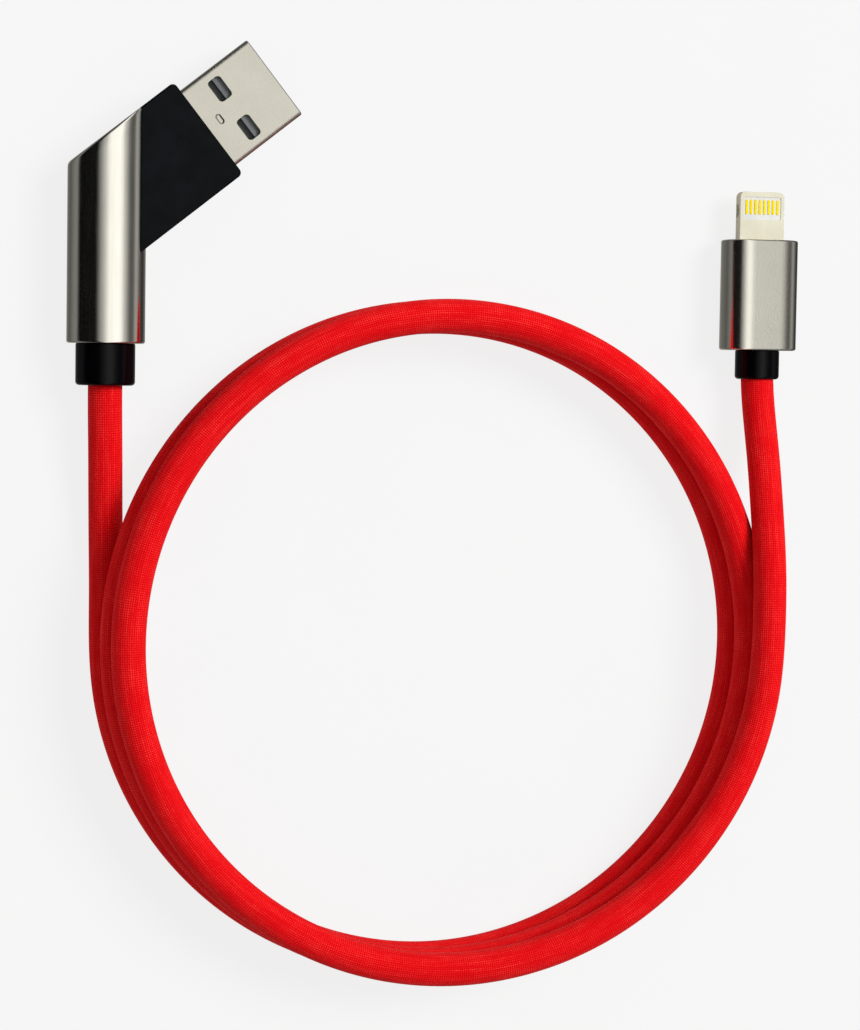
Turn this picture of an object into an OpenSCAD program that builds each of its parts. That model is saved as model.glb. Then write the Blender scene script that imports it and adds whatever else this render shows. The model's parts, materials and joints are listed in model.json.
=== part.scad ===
// Angled charging cable lying on a table, wound in a loose round coil of two and a half turns.
// One end is a USB-A plug whose metal sleeve bends away from the plug, the other an 8-contact phone plug.
// Millimetres, +Z up. X and Y lie on the table, and +Y points from the coil towards the plugs.
// The origin is on the table, midway between the two plugs.

/* [Cord] */
// Outside diameter of the fabric cord
cord_d = 4.5; // [4.3:0.1:4.5]
// Mean radius of the coil, at the middle of the cord
coil_r = 43.9; // [42:0.1:46]
// Height that each turn gains by lying on the one below
turn_rise = 4.4; // [4:0.1:4.5]
// How far each turn leans to +X of the one below
turn_lean = 1; // [0.6:0.1:1.2]

/* [USB shell] */
// Width of the steel shell
shell_w = 12; // [11.9:0.05:12.1]
// Thickness of the steel shell
shell_t = 4.5; // [4.4:0.05:4.6]
// Gauge of the shell's sheet steel
shell_wall = 0.3; // [0.25:0.05:0.35]
// Length of shell that stands out of the body
shell_out = 11.3; // [10.5:0.1:12]

/* [USB body and sleeve] */
// Angle between the sleeve's axis and the plug's axis
bend = 51.5; // [48:0.5:55]
// Distance from the bend to the body's front face
head_len = 16.4; // [16:0.1:17]
// Width of the black body
body_w = 14.8; // [14.6:0.1:15.2]
// Thickness of the black body
body_t = 7.2; // [7:0.1:7.4]
// Width of the metal sleeve
sleeve_w = 10.2; // [10:0.1:10.6]
// Thickness of the metal sleeve
sleeve_t = 9.6; // [9.2:0.1:10]
// Corner radius of the sleeve's section
sleeve_r = 3.8; // [3.4:0.1:4]
// Wall of the metal sleeve
sleeve_wall = 0.6; // [0.5:0.05:0.7]
// Distance from the bend back to the sleeve's lower end
sleeve_back = 18; // [17:0.1:19]
// Diameter of the USB plug's collar
usb_collar_d = 7.8; // [7.4:0.1:8.2]
// Length of the USB plug's collar
usb_collar_len = 5.5; // [5:0.1:6]

/* [Phone plug] */
// Width of the tongue
tongue_w = 6.7; // [6.6:0.05:6.8]
// Thickness of the tongue
tongue_t = 1.5; // [1.45:0.05:1.55]
// Length of tongue that stands out of the housing
tongue_out = 6.65; // [6.6:0.05:7]
// Width of the metal housing
housing_w = 10.5; // [10.2:0.1:10.9]
// Thickness of the metal housing
housing_t = 6.8; // [6.7:0.1:7]
// Length of the metal housing
housing_len = 15.2; // [15:0.1:16]
// Wall of the metal housing
housing_wall = 0.5; // [0.4:0.05:0.6]
// How far the phone plug is rolled about its own axis, in degrees
phone_roll = 4; // [0:0.5:8]
// Diameter of the phone plug's collar
phone_collar_d = 6.1; // [5.9:0.1:6.4]
// Length of the phone plug's collar
phone_collar_len = 4; // [3.5:0.1:4.5]

/* [Hidden] */

// Smoothness of round features
$fn = 48;
// Longer than anything that has to be cut right through
far = 60;
// A cut reaches this far past the face that it opens
eps = 1;

// Where the parts lie: sleeve axis, bend and phone plug's front face
usb_x = -45.5;
usb_y = 0.8;
usb_z = sleeve_t / 2;
phone_x = 45;
phone_y = -1.5;
phone_z = housing_t / 2 + (housing_w - housing_t) / 2 * sin(phone_roll);
coil_y = -56.7;

// Cord
cord_r = cord_d / 2;
cord_bore_r = cord_r + 0.05;
coil_turns_high = 3;
coil_w = cord_d + 2 * turn_lean;
coil_h = cord_d + (coil_turns_high - 1) * turn_rise;
tube_sides = 12;

// USB shell
shell_r = 0.6;
shell_in = 4.1;
shell_back = head_len - shell_in;
shell_tip = head_len + shell_out;
window_w = 3.1;
window_l = 1.9;
window_x = 3.1;
window_y = head_len + 4.5;
dimple_w = 1.3;
dimple_l = 0.6;
dimple_y = head_len + 2.1;
dimple_depth = 0.15;
seam_gap = 0.12;

// USB tongue and contacts, in the tongue's frame, where the contacts are on top
tongue_recess = 0.5;
plate_bottom = shell_wall - shell_t / 2;
pocket_deep = 1.4;
pocket_shallow = 0.35;
plate_top = -0.05;
block_front = head_len + 1;
contact_w = 1;
contact_t = 0.25;
contact_back = 8.6;
outer_contact_x = 3.5;
inner_contact_x = 1;
outer_contact_tip = shell_tip - 1.6;
inner_contact_tip = shell_tip - 2.6;

// USB rear shield and inner mould
rear_back = 5.6;
rear_slot_w = 9;
rear_slot_t = 2.6;
usb_wire_r = 0.45;
usb_wire_z = -plate_top - contact_t - usb_wire_r;
usb_wire_tip = 10.2;
wire_slot_w = 1;
wire_slot_top = 1.2;

// USB body and sleeve
body_corner_r = 0.7;
body_cavity_w = shell_w + 0.4;
body_cavity_t = shell_t + 0.4;
body_front_wall = 1.4;
body_seat = 0.6;
body_back_x = usb_x + sleeve_w / 2 - sleeve_wall - body_seat;
sleeve_y = usb_y - sleeve_back;
sleeve_end_wall = 0.8;
usb_neck_d = 6.4;
usb_neck_in = 1.6;
collar_edge_r = 0.5;
usb_collar_y = sleeve_y - usb_collar_len;

// Crimps and the ends of the cord inside the plugs
crimp_wall = 0.55;
usb_crimp_y = sleeve_y + 1.9;
usb_crimp_len = 3.4;
usb_cord_end_y = usb_crimp_y + 3;
usb_wire_offset = 0.6;

// Phone plug, measured from its front face, +Y towards the tip
tongue_corner_r = 0.8;
tongue_in = 3.2;
block_w = 5.6;
block_y0 = 2.8;
block_y1 = 5.95;
block_t = 1.32;
pad_w = 0.4;
pad_len = 2.05;
pad_t = 0.08;
pad_pitch = 0.66;
pad_y = 4.55;
pad_count = 8;
detent_r = 1.6;
detent_depth = 0.35;
detent_h = 0.9;
detent_y = 4;
insert_back = 1.2;
insert_recess = 0.2;
board_t = 0.6;
board_w = 7.4;
board_y0 = -10.6;
board_y1 = -tongue_in - 0.1;
tab_w = 5.2;
tab_tip = 5.6;
tab_gap = 0.05;
can_w = 7.2;
can_h = 1.25;
can_y0 = -9.2;
can_y1 = -3.6;
can_wall = 0.15;
housing_end_wall = 0.6;
phone_neck_d = 5.4;
phone_crimp_y0 = -14.5;
phone_crimp_y1 = -12.6;
phone_cord_end_y = -12.7;
phone_wire_r = 0.4;
phone_wire_x = 1;
phone_wire_tip = -9.4;
phone_mould_y0 = -12.4;
phone_mould_y1 = -10.7;
phone_mould_w = 6.4;
phone_mould_t = 3.8;
phone_wire_z = board_t / 2 + phone_wire_r;

// Route of the cord's centre from the coil up to the USB plug
usb_route = [
  [-44.9, -56.9, 2.25], [-44.9, -53, 2.25], [-44.9, -49, 2.3], [-45, -45, 2.5],
  [-45.1, -41, 2.9], [-45.2, -37, 3.4], [-45.3, -33, 4], [-45.4, -29, 4.5],
  [-45.5, -26, 4.7], [-45.5, -22.7, 4.8], [-45.5, -18, 4.8], [-45.5, -12.3, 4.8]
];
// Route of the cord's centre from the top of the coil down to the phone plug
phone_route = [
  [44.9, -56.6, 11.05], [44.95, -53, 11.05], [45, -49, 10.9], [45, -45, 10.4],
  [45.05, -41, 9.4], [45.15, -37, 8.1], [45.3, -33, 6.65], [45.35, -29, 5.15],
  [45.2, -25, 4.05], [45, -21, 3.54], [45, -17, 3.53], [45, -14.2, 3.53]
];

// --- Functions ---

// Direction of a route at point i
function heading(p, i) =
  let (d = p[min(i + 1, len(p) - 1)] - p[max(i - 1, 0)])
  d / norm(d);

// Ring of n points of radius r around point i of a route
function ring(p, i, r, n) =
  let (
    t = heading(p, i),
    side = cross(t, [0, 0, 1]) / norm(cross(t, [0, 0, 1])),
    up = cross(side, t)
  )
  [for (k = [0 : n - 1]) p[i] + r * (cos(360 * k / n) * side + sin(360 * k / n) * up)];

// A point of the plug's own frame, whose +Y is the plug's axis, in the row frame
function head_point(p) = [
  usb_x + p[0] * cos(bend) + p[1] * sin(bend),
  usb_y - p[0] * sin(bend) + p[1] * cos(bend),
  usb_z + p[2]
];

// Route of a USB wire from the cord's end, round the bend, to its contact at x
function usb_wire_route(x, ox, oz) = [
  [usb_x + ox, usb_cord_end_y, usb_z + oz],
  [usb_x + ox, usb_cord_end_y + 3, usb_z + oz],
  [usb_x + ox, usb_y - 5, usb_z + oz],
  head_point([ox * 1.3, 0, oz]),
  head_point([x * 0.55, 2.2, (oz + usb_wire_z) / 2]),
  head_point([x * 0.9, 4.2, usb_wire_z]),
  head_point([x, 6.4, usb_wire_z]),
  head_point([x, usb_wire_tip, usb_wire_z])
];

// --- Shared shapes ---

// Closed tube of n sides along a route
module tube(p, r, n) {
  m = len(p);
  points = [for (i = [0 : m - 1]) each ring(p, i, r, n)];
  sides = [
    for (i = [0 : m - 2])
      for (k = [0 : n - 1])
        let (a = i * n + k, b = i * n + (k + 1) % n)
        each [[a, b, a + n], [b, b + n, a + n]]
  ];
  first = [for (k = [n - 1 : -1 : 0]) k];
  last = [for (k = [0 : n - 1]) (m - 1) * n + k];
  polyhedron(points, concat(sides, [first, last]));
}

// Rectangle with round corners, centred
module rounded_rect(w, h, r) {
  square([w - 2 * r, h], center = true);
  square([w, h - 2 * r], center = true);
  for (x = [-1, 1], y = [-1, 1])
    translate([x * (w / 2 - r), y * (h / 2 - r)]) circle(r);
}

// Flat bar with fully round sides, centred
module stadium(w, h) {
  square([w - h, h], center = true);
  for (x = [-1, 1])
    translate([x * (w - h) / 2, 0]) circle(h / 2);
}

// Prism along +Y, from y0 to y1, of a section drawn in X and Z
module along_y(y0, y1) {
  translate([0, y1, 0]) rotate([90, 0, 0]) linear_extrude(y1 - y0) children();
}

// Box centred on x = 0 and z = 0, from y0 to y1
module bar(w, y0, y1, t) {
  translate([-w / 2, y0, -t / 2]) cube([w, y1 - y0, t]);
}

// Places the USB plug's own frame: origin at the bend, +Y along the plug
module at_head() {
  translate([usb_x, usb_y, usb_z]) rotate([0, 0, -bend]) children();
}

// Places the tongue's frame: the plug's own, turned over, because the contacts face the table
module at_tongue() {
  at_head() rotate([0, 180, 0]) children();
}

// Places the sleeve's frame: on the sleeve's axis, still in row-frame lengths along Y
module at_sleeve() {
  translate([usb_x, 0, usb_z]) children();
}

// Places the phone plug's own frame: origin at its front face, +Y towards the tip
module at_phone() {
  translate([phone_x, phone_y, phone_z]) rotate([0, phone_roll, 0]) children();
}

// Space on the plug's side of the sleeve's slanted end, a depth inside it
module inside_slant(depth) {
  at_head() translate([depth - body_w / 2, -far, -far / 2]) cube([2 * far, 2 * far, far]);
}

// Outline of the body in plan, up to its front face, with its slanted side moved out by over
module body_plan(over) {
  translate([-body_w / 2 - over, -far / 2]) square([body_w + over, far / 2 + head_len - body_corner_r]);
  translate([-body_w / 2 + body_corner_r, 0]) square([body_w - 2 * body_corner_r, head_len]);
  for (x = [-1, 1])
    translate([x * (body_w / 2 - body_corner_r), head_len - body_corner_r]) circle(body_corner_r);
}

// Solid block of the body, from where it seats in the sleeve
module body_block(over) {
  intersection() {
    at_head() translate([0, 0, -body_t / 2]) linear_extrude(body_t) body_plan(over);
    translate([body_back_x, -far, 0]) cube([far, 2 * far, far]);
  }
}

// Inside of the steel shell
module shell_inside(y0, y1) {
  along_y(y0, y1)
    rounded_rect(shell_w - 2 * shell_wall, shell_t - 2 * shell_wall, shell_r - shell_wall);
}

// One contact of the USB tongue, at x
module usb_contact(x, tip) {
  translate([x - contact_w / 2, contact_back, plate_top])
    cube([contact_w, tip - contact_back, contact_t]);
}

// All four contacts, as the room that they take in the tongue and mould
module usb_contact_room() {
  for (s = [-1, 1]) {
    usb_contact(s * outer_contact_x, outer_contact_tip);
    usb_contact(s * inner_contact_x, inner_contact_tip);
  }
}

// Round collar along Y with its cord end rounded, and a neck that enters the plug
module collar(d, y0, y1, neck_d, neck_y) {
  difference() {
    union() {
      translate([0, y0, 0]) rotate([-90, 0, 0]) rotate_extrude() {
        square([d / 2 - collar_edge_r, y1 - y0]);
        translate([0, collar_edge_r]) square([d / 2, y1 - y0 - collar_edge_r]);
        translate([d / 2 - collar_edge_r, collar_edge_r]) circle(collar_edge_r);
      }
      translate([0, y1 - eps / 2, 0]) rotate([-90, 0, 0]) cylinder(d = neck_d, h = neck_y - y1 + eps / 2);
    }
    translate([0, y0 - eps, 0]) rotate([-90, 0, 0]) cylinder(r = cord_bore_r, h = far);
  }
}

// Crimped metal ring round the cord's end
module crimp(y0, y1) {
  translate([0, y0, 0]) rotate([-90, 0, 0]) difference() {
    cylinder(r = cord_bore_r + crimp_wall, h = y1 - y0);
    translate([0, 0, -eps]) cylinder(r = cord_bore_r, h = far);
  }
}

// --- USB plug ---

module usb_shell() {
  color([0.78, 0.77, 0.72]) at_head() difference() {
    along_y(shell_back, shell_tip) rounded_rect(shell_w, shell_t, shell_r);
    shell_inside(shell_back - eps, shell_tip + eps);
    for (x = [-1, 1])
      translate([x * window_x, window_y, -far / 2]) linear_extrude(far) rounded_rect(window_w, window_l, 0.45);
    translate([0, dimple_y, shell_t / 2 - dimple_depth]) linear_extrude(far) stadium(dimple_w, dimple_l);
    translate([-seam_gap / 2, 0, -shell_t]) cube([seam_gap, far, shell_t - shell_wall - eps / 2]);
  }
}

// Pockets of the tongue, one behind each window of the shell: deep behind, shallow towards the tip
module tongue_pockets() {
  for (x = [-1, 1]) translate([x * window_x - window_w / 2, 0, plate_bottom]) {
    translate([0, window_y - window_l / 2, -eps]) cube([window_w, window_l / 2, eps + pocket_deep]);
    translate([0, window_y - eps / 4, -eps])
      cube([window_w, window_l / 2 + eps / 4, eps + pocket_shallow]);
  }
}

module usb_tongue() {
  color([0.16, 0.165, 0.17]) at_tongue() difference() {
    intersection() {
      shell_inside(shell_back, shell_tip - tongue_recess);
      union() {
        translate([-far / 2, 0, plate_top - far]) cube([far, far, far]);
        bar(far, shell_back, block_front, far);
      }
    }
    usb_contact_room();
    tongue_pockets();
  }
}

module usb_contact_power() {
  color([0.9, 0.72, 0.3]) at_tongue() usb_contact(-outer_contact_x, outer_contact_tip);
}

module usb_contact_data_minus() {
  color([0.9, 0.72, 0.3]) at_tongue() usb_contact(-inner_contact_x, inner_contact_tip);
}

module usb_contact_data_plus() {
  color([0.9, 0.72, 0.3]) at_tongue() usb_contact(inner_contact_x, inner_contact_tip);
}

module usb_contact_ground() {
  color([0.9, 0.72, 0.3]) at_tongue() usb_contact(outer_contact_x, outer_contact_tip);
}

module usb_rear_shield() {
  color([0.7, 0.7, 0.68]) at_head() difference() {
    along_y(rear_back, shell_back) rounded_rect(shell_w, shell_t, shell_r);
    shell_inside(rear_back + shell_wall, shell_back + eps);
    bar(rear_slot_w, rear_back - eps, rear_back + eps, rear_slot_t);
  }
}

module usb_inner_mould() {
  color([0.92, 0.92, 0.9]) at_tongue() difference() {
    shell_inside(rear_back + shell_wall, shell_back);
    usb_contact_room();
    for (x = [-outer_contact_x, -inner_contact_x, inner_contact_x, outer_contact_x])
      translate([x - wire_slot_w / 2, 0, plate_top]) cube([wire_slot_w, far, wire_slot_top - plate_top]);
  }
}

module usb_body() {
  color([0.07, 0.075, 0.08]) difference() {
    body_block(0);
    at_head() bar(body_cavity_w, -far / 2, head_len - body_front_wall, body_cavity_t);
    at_head() along_y(0, head_len + eps) rounded_rect(shell_w, shell_t, shell_r);
  }
}

module usb_sleeve() {
  color([0.72, 0.71, 0.68]) difference() {
    intersection() {
      at_sleeve() along_y(sleeve_y, far) rounded_rect(sleeve_w, sleeve_t, sleeve_r);
      inside_slant(0);
    }
    intersection() {
      at_sleeve() along_y(sleeve_y + sleeve_end_wall, far)
        rounded_rect(sleeve_w - 2 * sleeve_wall, sleeve_t - 2 * sleeve_wall, sleeve_r - sleeve_wall);
      inside_slant(sleeve_wall);
    }
    at_sleeve() translate([0, sleeve_y - eps, 0]) rotate([-90, 0, 0]) cylinder(d = usb_neck_d, h = 3);
    body_block(eps);
  }
}

module usb_collar() {
  color([0.05, 0.05, 0.055]) at_sleeve()
    collar(usb_collar_d, usb_collar_y, sleeve_y, usb_neck_d, sleeve_y + usb_neck_in);
}

module usb_crimp() {
  color([0.8, 0.75, 0.6]) at_sleeve() crimp(usb_crimp_y, usb_crimp_y + usb_crimp_len);
}

module usb_wire_red() {
  color([0.8, 0.1, 0.1])
    tube(usb_wire_route(outer_contact_x, usb_wire_offset, -usb_wire_offset), usb_wire_r, 8);
}

module usb_wire_white() {
  color([0.92, 0.92, 0.92])
    tube(usb_wire_route(inner_contact_x, usb_wire_offset, usb_wire_offset), usb_wire_r, 8);
}

module usb_wire_green() {
  color([0.1, 0.55, 0.2])
    tube(usb_wire_route(-inner_contact_x, -usb_wire_offset, usb_wire_offset), usb_wire_r, 8);
}

module usb_wire_black() {
  color([0.05, 0.05, 0.05])
    tube(usb_wire_route(-outer_contact_x, -usb_wire_offset, -usb_wire_offset), usb_wire_r, 8);
}

// --- Phone plug ---

// Outline of the tongue in plan, with its two tip corners rounded
module tongue_plan() {
  translate([-tongue_w / 2, -tongue_in]) square([tongue_w, tongue_in + tongue_out - tongue_corner_r]);
  translate([-tongue_w / 2 + tongue_corner_r, 0]) square([tongue_w - 2 * tongue_corner_r, tongue_out]);
  for (x = [-1, 1])
    translate([x * (tongue_w / 2 - tongue_corner_r), tongue_out - tongue_corner_r]) circle(tongue_corner_r);
}

module phone_tongue() {
  color([0.88, 0.86, 0.78]) at_phone() difference() {
    translate([0, 0, -tongue_t / 2]) linear_extrude(tongue_t) tongue_plan();
    bar(block_w, block_y0, block_y1, far);
    bar(tab_w + 2 * tab_gap, -far / 2, block_y0 + eps, board_t + 2 * tab_gap);
    for (x = [-1, 1])
      translate([x * (tongue_w / 2 + detent_r - detent_depth), detent_y, -detent_h / 2])
        cylinder(r = detent_r, h = detent_h);
  }
}

module phone_contact_block() {
  color([0.93, 0.93, 0.94]) at_phone() difference() {
    bar(block_w, block_y0, block_y1, block_t);
    bar(tab_w, 0, tab_tip, board_t);
  }
}

// Row of contact pads that stand on the block's face
module pad_row() {
  for (i = [0 : pad_count - 1])
    translate([(i - (pad_count - 1) / 2) * pad_pitch, pad_y, block_t / 2])
      linear_extrude(pad_t) rotate(90) stadium(pad_len, pad_w);
}

module phone_contacts_front() {
  color([0.95, 0.78, 0.1]) at_phone() pad_row();
}

module phone_contacts_back() {
  color([0.95, 0.78, 0.1]) at_phone() mirror([0, 0, 1]) pad_row();
}

module phone_insert() {
  color([0.8, 0.8, 0.8]) at_phone() difference() {
    along_y(-insert_back, -insert_recess)
      stadium(housing_w - 2 * housing_wall, housing_t - 2 * housing_wall);
    bar(tongue_w, -far / 2, far / 2, tongue_t);
  }
}

module phone_housing() {
  color([0.74, 0.73, 0.7]) at_phone() difference() {
    along_y(-housing_len, 0) stadium(housing_w, housing_t);
    along_y(housing_end_wall - housing_len, eps)
      stadium(housing_w - 2 * housing_wall, housing_t - 2 * housing_wall);
    translate([0, -housing_len - eps, 0]) rotate([-90, 0, 0]) cylinder(d = phone_neck_d, h = 2 * eps);
  }
}

module phone_board() {
  color([0.05, 0.35, 0.2]) at_phone() {
    bar(tab_w, board_y1 - 0.5, tab_tip, board_t);
    bar(board_w, board_y0, board_y1, board_t);
  }
}

module phone_chip() {
  color([0.06, 0.06, 0.07]) at_phone() translate([-1.6, -7.8, board_t / 2]) cube([3.2, 2.6, 0.7]);
}

module phone_board_parts() {
  color([0.6, 0.5, 0.35]) at_phone() {
    for (x = [-3, 2.2], y = [-7.8, -6.2])
      translate([x, y, board_t / 2]) cube([0.8, 1, 0.5]);
    for (x = [-2.4, -0.8, 0.8])
      translate([x, -6.8, -board_t / 2 - 0.5]) cube([1, 1.6, 0.5]);
  }
}

// Pressed steel cover that stands on one face of the board
module shield_can() {
  translate([0, 0, board_t / 2]) difference() {
    translate([-can_w / 2, can_y0, 0]) cube([can_w, can_y1 - can_y0, can_h]);
    translate([-can_w / 2 + can_wall, can_y0 + can_wall, -eps])
      cube([can_w - 2 * can_wall, can_y1 - can_y0 - 2 * can_wall, can_h + eps - can_wall]);
  }
}

module phone_shield_front() {
  color([0.75, 0.75, 0.73]) at_phone() shield_can();
}

module phone_shield_back() {
  color([0.75, 0.75, 0.73]) at_phone() mirror([0, 0, 1]) shield_can();
}

module phone_inner_mould() {
  color([0.9, 0.9, 0.88]) at_phone() difference() {
    along_y(phone_mould_y0, phone_mould_y1) rounded_rect(phone_mould_w, phone_mould_t, 1);
    for (x = [-1, 1], z = [0, 1])
      mirror([0, 0, z]) translate([x * phone_wire_x - 0.45, -far / 2, board_t / 2 - 0.05]) cube([0.9, far, 1]);
  }
}

module phone_collar() {
  color([0.05, 0.05, 0.055]) at_phone()
    collar(phone_collar_d, -housing_len - phone_collar_len, -housing_len, phone_neck_d,
      housing_end_wall - housing_len);
}

module phone_crimp() {
  color([0.8, 0.75, 0.6]) at_phone() crimp(phone_crimp_y0, phone_crimp_y1);
}

// One wire from the cord's end to its pad on the board
module phone_wire(x, side) {
  at_phone() translate([x * phone_wire_x, phone_cord_end_y, side * phone_wire_z]) rotate([-90, 0, 0])
    cylinder(r = phone_wire_r, h = phone_wire_tip - phone_cord_end_y);
}

module phone_wire_red() {
  color([0.8, 0.1, 0.1]) phone_wire(-1, 1);
}

module phone_wire_white() {
  color([0.92, 0.92, 0.92]) phone_wire(-1, -1);
}

module phone_wire_green() {
  color([0.1, 0.55, 0.2]) phone_wire(1, -1);
}

module phone_wire_black() {
  color([0.05, 0.05, 0.05]) phone_wire(1, 1);
}

// --- Cord ---

// Outer shape of the leaning stack of turns
module cord_coil() {
  color([0.85, 0.08, 0.08]) translate([0, coil_y, coil_h / 2]) rotate_extrude($fn = 96)
    translate([coil_r, 0]) rounded_rect(coil_w, coil_h, cord_r - 0.05);
}

module cord_tail_usb() {
  color([0.85, 0.08, 0.08]) tube(usb_route, cord_r, tube_sides);
}

module cord_tail_phone() {
  color([0.85, 0.08, 0.08]) tube(phone_route, cord_r, tube_sides);
}

usb_shell();
usb_tongue();
usb_contact_power();
usb_contact_data_minus();
usb_contact_data_plus();
usb_contact_ground();
usb_rear_shield();
usb_inner_mould();
usb_body();
usb_sleeve();
usb_collar();
usb_crimp();
usb_wire_red();
usb_wire_white();
usb_wire_green();
usb_wire_black();
phone_tongue();
phone_contact_block();
phone_contacts_front();
phone_contacts_back();
phone_insert();
phone_housing();
phone_board();
phone_chip();
phone_board_parts();
phone_shield_front();
phone_shield_back();
phone_inner_mould();
phone_collar();
phone_crimp();
phone_wire_red();
phone_wire_white();
phone_wire_green();
phone_wire_black();
cord_coil();
cord_tail_usb();
cord_tail_phone();
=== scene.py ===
"""Looks for the angled charging cable: the coiled fabric cord, both plugs and a pale studio."""

import json
import math

import bmesh
import bpy
import numpy as np
from mathutils import Matrix, Vector
from mathutils.geometry import tessellate_polygon


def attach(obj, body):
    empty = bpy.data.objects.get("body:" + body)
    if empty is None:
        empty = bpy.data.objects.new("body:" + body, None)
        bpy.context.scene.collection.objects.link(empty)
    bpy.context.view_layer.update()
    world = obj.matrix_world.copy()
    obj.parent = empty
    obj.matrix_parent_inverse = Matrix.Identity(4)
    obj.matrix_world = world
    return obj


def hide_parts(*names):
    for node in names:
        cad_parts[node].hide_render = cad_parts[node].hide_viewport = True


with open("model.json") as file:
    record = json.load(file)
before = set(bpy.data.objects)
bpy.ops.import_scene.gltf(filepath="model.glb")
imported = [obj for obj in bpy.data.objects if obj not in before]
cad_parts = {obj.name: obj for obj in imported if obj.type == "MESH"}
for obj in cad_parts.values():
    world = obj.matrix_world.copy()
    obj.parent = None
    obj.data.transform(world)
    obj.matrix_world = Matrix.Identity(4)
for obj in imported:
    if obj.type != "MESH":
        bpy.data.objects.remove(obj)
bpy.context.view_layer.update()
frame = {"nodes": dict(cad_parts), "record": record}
scene = bpy.context.scene
scene.view_settings.view_transform = "Standard"

MM = 0.001
TAU = 2 * math.pi

# ---------------------------------------------------------------- camera

CAMERA_AT = Vector((-0.08238, -0.01911, 0.36023))
CAMERA_ABOUT_Y, CAMERA_ABOUT_X, CAMERA_ABOUT_Z = -12.814, -3.223, 0.867
lens = bpy.data.cameras.new("camera")
lens.lens = 94.435
lens.sensor_width = 36
lens.clip_start = 0.01
camera = bpy.data.objects.new("camera", lens)
scene.collection.objects.link(camera)
camera.matrix_world = (
    Matrix.Translation(CAMERA_AT)
    @ Matrix.Rotation(math.radians(CAMERA_ABOUT_Y), 4, "Y")
    @ Matrix.Rotation(math.radians(CAMERA_ABOUT_X), 4, "X")
    @ Matrix.Rotation(math.radians(CAMERA_ABOUT_Z), 4, "Z")
)
scene.camera = camera

# ---------------------------------------------------------------- the object's main measures, in mm

CORD_D = 4.5
COIL_R, COIL_Y = 43.9, -56.7
TURN_RISE, TURN_LEAN, TURN_LEAN_Y = 4.4, 1.0, 0.15
TURNS, TURNS_HIGH = 2.5, 3

BEND = math.radians(51.5)
USB_AT = np.array((-45.5, 0.8, 4.8))
HEAD_LEN, BODY_W, BODY_T, BODY_CORNER, BODY_BACK_X = 16.4, 14.8, 7.2, 0.7, -41.6
SHELL_W, SHELL_T, SHELL_WALL, SHELL_R = 12.0, 4.5, 0.3, 0.6
SHELL_BACK, SHELL_TIP = 12.3, 27.7
SHELL_SEAM = 0.06
WINDOW_W, WINDOW_L, WINDOW_R, WINDOW_X, WINDOW_Y = 3.1, 1.9, 0.45, 3.1, HEAD_LEN + 4.5
DIMPLE_W, DIMPLE_L, DIMPLE_R, DIMPLE_Y = 1.3, 0.6, 0.29, HEAD_LEN + 2.1
SLEEVE_W, SLEEVE_T, SLEEVE_WALL, SLEEVE_Y = 10.2, 9.6, 0.6, -17.2
USB_COLLAR = (7.8, -22.7, -17.2, 6.4, -15.6)

PHONE_AT = np.array((45.0, -1.5, 3.52905))
PHONE_ROLL = math.radians(4)
TONGUE_W, TONGUE_T, TONGUE_OUT, TONGUE_IN, TONGUE_CORNER = 6.7, 1.5, 6.65, 3.2, 0.8
DETENT_R, DETENT_DEPTH, DETENT_Y, DETENT_H = 1.6, 0.35, 4, 0.9
BLOCK_X, BLOCK_BACK, BLOCK_FRONT, BLOCK_T = 2.8, 2.8, 5.95, 1.32
PAD_COUNT, PAD_PITCH, PAD_Y, PAD_W, PAD_L, PAD_T = 8, 0.66, 4.55, 0.4, 2.05, 0.09
HOUSING_W, HOUSING_T, HOUSING_LEN, HOUSING_WALL = 10.5, 6.8, 15.2, 0.5
HOUSING_END_WALL, HOUSING_HOLE_R = 0.6, 2.7
PHONE_COLLAR = (6.1, -19.2, -15.2, 5.4, -14.6)


def head(p):
    """A point of the USB plug's own frame, whose +Y is the plug's axis, in the row frame."""
    x, y, z = p
    c, s = math.cos(BEND), math.sin(BEND)
    return (USB_AT[0] + x * c + y * s, USB_AT[1] - x * s + y * c, USB_AT[2] + z)


def phone(p):
    """A point of the phone plug's own frame, +Y towards its tip, in the row frame."""
    x, y, z = p
    c, s = math.cos(PHONE_ROLL), math.sin(PHONE_ROLL)
    return (PHONE_AT[0] + x * c + z * s, PHONE_AT[1] + y, PHONE_AT[2] - x * s + z * c)


def sleeve(p):
    """A point of the sleeve's frame, on its axis, whose Y is the row's."""
    return (USB_AT[0] + p[0], p[1], USB_AT[2] + p[2])


# ---------------------------------------------------------------- mesh helpers


class Faces:
    """Collects faces by their corner points, and joins corners that coincide."""

    def __init__(self):
        self.points, self.faces, self.index = [], [], {}

    def corner(self, p):
        """The index of the corner at p, made if there is none."""
        key = tuple(round(float(v), 5) for v in p)
        if key not in self.index:
            self.index[key] = len(self.points)
            self.points.append([float(v) for v in p])
        return self.index[key]

    def add(self, *corners):
        face = []
        for p in corners:
            i = self.corner(p)
            if i not in face:
                face.append(i)
        if len(face) > 2:
            self.faces.append(face)

    def strip(self, a, b, closed=True, skip=()):
        """Quads between two rings of as many points."""
        n = len(a)
        for i in range(n if closed else n - 1):
            if i not in skip:
                j = (i + 1) % n
                self.add(a[i], a[j], b[j], b[i])

    def rings(self, rings, looped=False):
        for a, b in zip(rings, rings[1:]):
            self.strip(a, b)
        if looped:
            self.strip(rings[-1], rings[0])

    def plate(self, outline, holes=()):
        """A flat face with holes, all given as rings of points."""
        loops = [[Vector(p) for p in outline]] + [[Vector(p) for p in h] for h in holes]
        flat = [p for loop in loops for p in loop]
        for tri in tessellate_polygon(loops):
            self.add(*(flat[i] for i in tri))


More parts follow.
